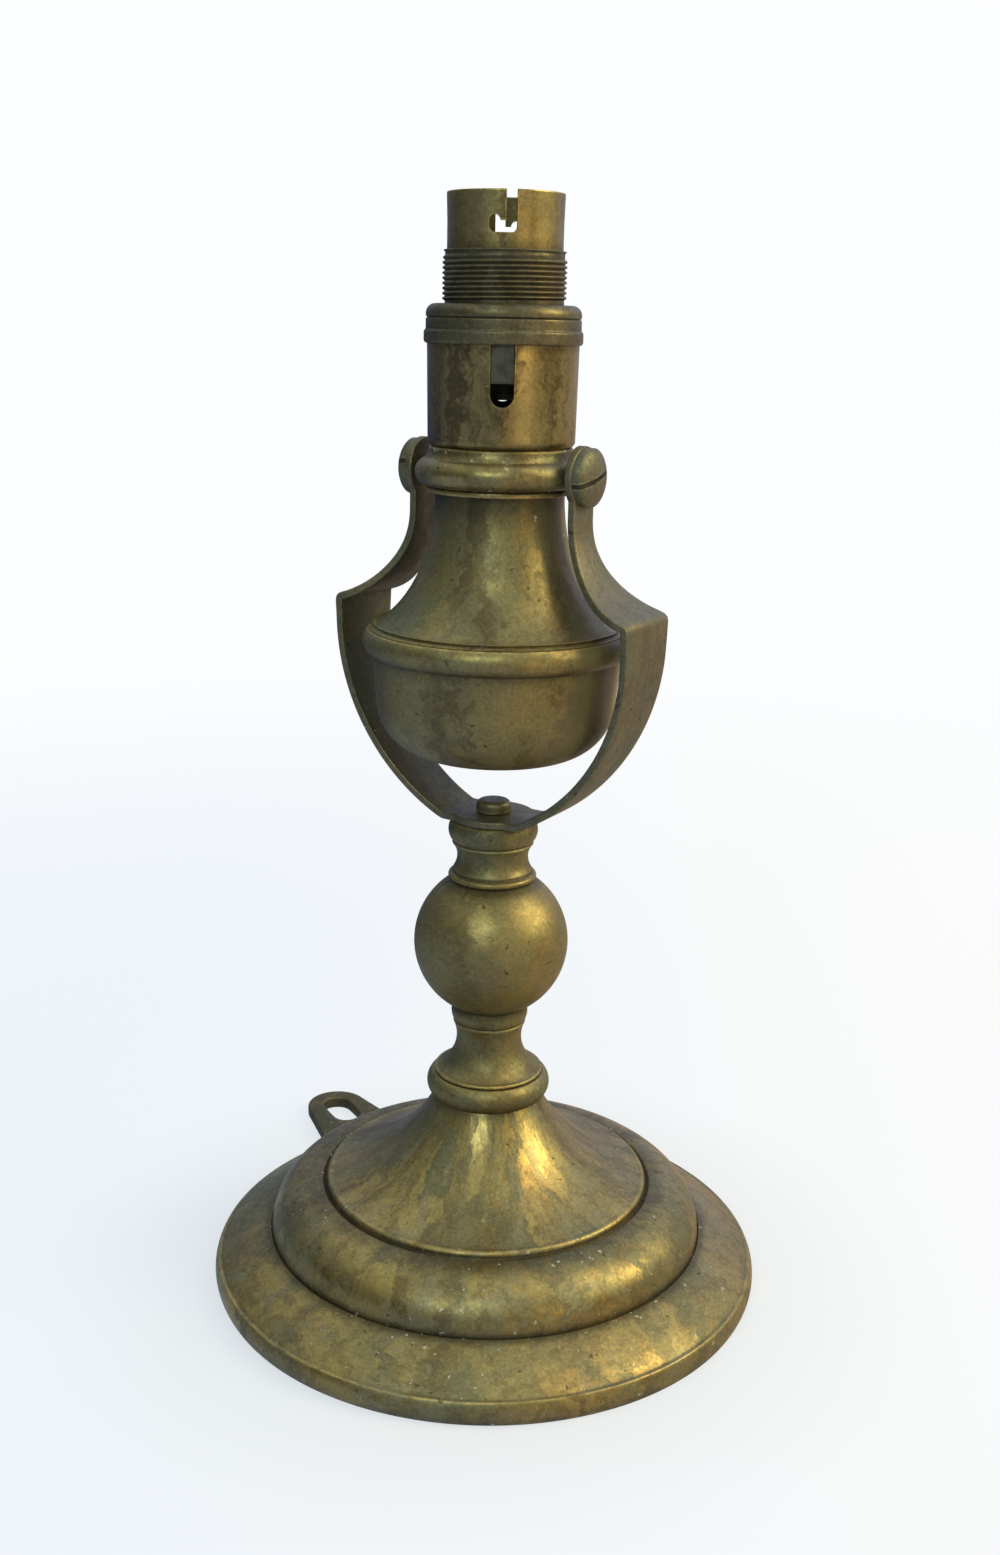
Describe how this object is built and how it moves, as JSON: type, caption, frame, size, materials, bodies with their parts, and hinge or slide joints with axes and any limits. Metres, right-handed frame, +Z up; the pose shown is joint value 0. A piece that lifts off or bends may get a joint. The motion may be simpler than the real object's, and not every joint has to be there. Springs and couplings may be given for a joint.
{
  "type": "gimbal lamp",
  "caption": "Brass gimbal lamp: a weighted vessel with a bayonet lampholder swings on pivots in a yoke, which turns on a column over a stepped round base with a hanging eye.",
  "frame": {"origin": "centre of the foot ring, on the surface that the lamp stands on", "axes": "+Z up the column, +X along the swing axis, -Y to the front"},
  "size_m": [0.1435, 0.1258, 0.2395],
  "materials": {
    "aged_brass": "aged, with brown patina",
    "dark_brass": "dark patina",
    "porcelain": "dusty glaze",
    "lead": "dull cast",
    "ebonite": "dull black",
    "spring_steel": "drawn wire"
  },
  "bodies": {
    "base": {"base_shell": "aged_brass", "column": "aged_brass", "column_washer": "dark_brass", "column_nut": "dark_brass", "hanging_loop": "dark_brass", "loop_screws": "dark_brass", "yoke_screw": "dark_brass"},
    "yoke": {"yoke": "dark_brass"},
    "lamp": {"pivot_collar": "aged_brass", "pivot_screws": "dark_brass", "vessel_bell": "aged_brass", "vessel_bowl": "aged_brass", "ballast": "lead", "nipple": "aged_brass", "nipple_nut": "dark_brass", "cord_bush": "ebonite", "holder_cap": "aged_brass", "union_ring": "dark_brass", "barrel": "aged_brass", "porcelain": "porcelain", "contact_tubes": "aged_brass", "terminal_screws": "dark_brass", "spring_left": "spring_steel", "spring_right": "spring_steel"},
    "contact_left": {"plunger_left": "aged_brass"},
    "contact_right": {"plunger_right": "aged_brass"}
  },
  "joints": [
    {"name": "yoke_swivel", "type": "hinge", "parent": "base", "child": "yoke", "pos_m": [0, 0, 0.10922], "axis": [0, 0, 1], "continuous": true},
    {"name": "lamp_swing", "type": "hinge", "parent": "yoke", "child": "lamp", "pos_m": [0, 0, 0.18462], "axis": [1, 0, 0], "continuous": true},
    {"name": "press_left", "type": "slide", "parent": "lamp", "child": "contact_left", "axis": [0, 0, -1], "range_m": [0, 0.004], "stiffness_N_per_m": 300, "springref_m": -0.004, "deforming": ["spring_left"]},
    {"name": "press_right", "type": "slide", "parent": "lamp", "child": "contact_right", "axis": [0, 0, -1], "range_m": [0, 0.004], "stiffness_N_per_m": 300, "springref_m": -0.004, "deforming": ["spring_right"]}
  ]
}
